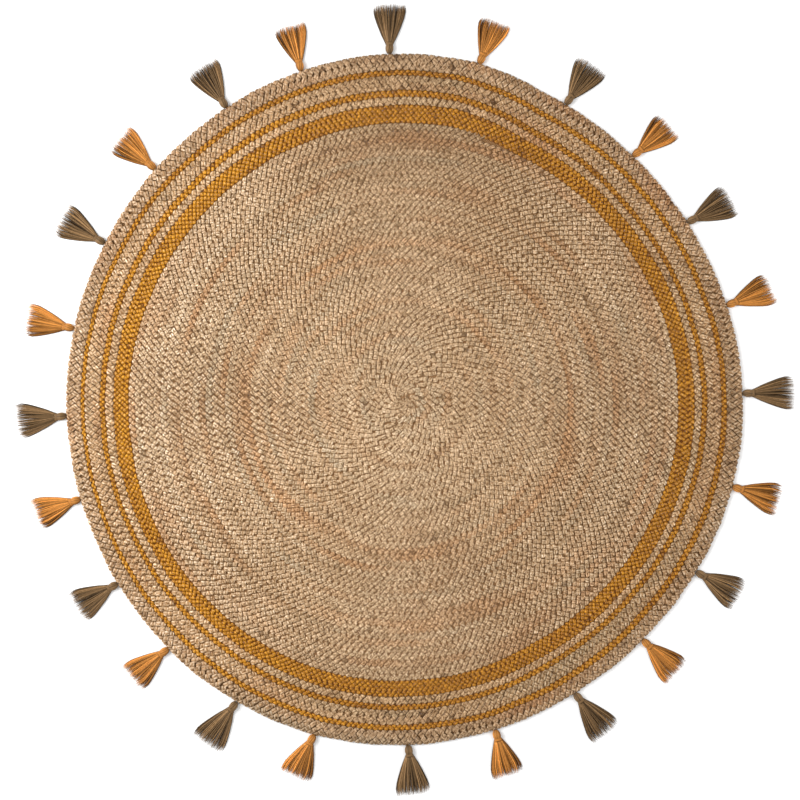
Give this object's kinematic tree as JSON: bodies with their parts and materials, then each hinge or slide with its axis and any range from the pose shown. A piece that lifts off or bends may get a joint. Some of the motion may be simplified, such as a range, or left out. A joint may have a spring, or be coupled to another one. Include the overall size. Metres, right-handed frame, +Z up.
{
  "type": "round jute rug",
  "caption": "Round rug of flat jute braid coiled and sewn edge to edge, with ochre bands near the rim and brown and orange yarn tassels lying out from it.",
  "frame": {"origin": "middle of the rug on its flat underside", "axes": "+Z up out of the pile side; +Y towards the top of the picture; X and Y in the plane of the rug"},
  "size_m": [1.7111, 1.7392, 0.0125],
  "materials": {
    "natural_jute": "undyed jute in a three-strand flat braid, dull with hairy fibres",
    "ochre_jute": "ochre-dyed jute in the same braid, dull",
    "brown_yarn": "taupe-brown yarn, soft sheen along the strands",
    "orange_yarn": "dull orange yarn, soft sheen along the strands"
  },
  "bodies": {
    "root": {"centre_coil": "natural_jute", "wide_ochre_band": "ochre_jute", "single_natural_turn": "natural_jute", "inner_ochre_turn": "ochre_jute", "double_natural_turns": "natural_jute", "outer_ochre_turn": "ochre_jute", "natural_rim": "natural_jute", "tassel_01_brown": "brown_yarn", "tassel_02_orange": "orange_yarn", "tassel_03_brown": "brown_yarn", "tassel_04_orange": "orange_yarn", "tassel_05_brown": "brown_yarn", "tassel_06_orange": "orange_yarn", "tassel_07_brown": "brown_yarn", "tassel_08_orange": "orange_yarn", "tassel_09_brown": "brown_yarn", "tassel_10_orange": "orange_yarn", "tassel_11_brown": "brown_yarn", "tassel_12_orange": "orange_yarn", "tassel_13_brown": "brown_yarn", "tassel_14_orange": "orange_yarn", "tassel_15_brown": "brown_yarn", "tassel_16_orange": "orange_yarn", "tassel_17_brown": "brown_yarn", "tassel_18_orange": "orange_yarn", "tassel_19_brown": "brown_yarn", "tassel_20_orange": "orange_yarn", "tassel_21_brown": "brown_yarn", "tassel_22_orange": "orange_yarn", "tassel_23_brown": "brown_yarn", "tassel_24_orange": "orange_yarn"}
  },
  "joints": []
}
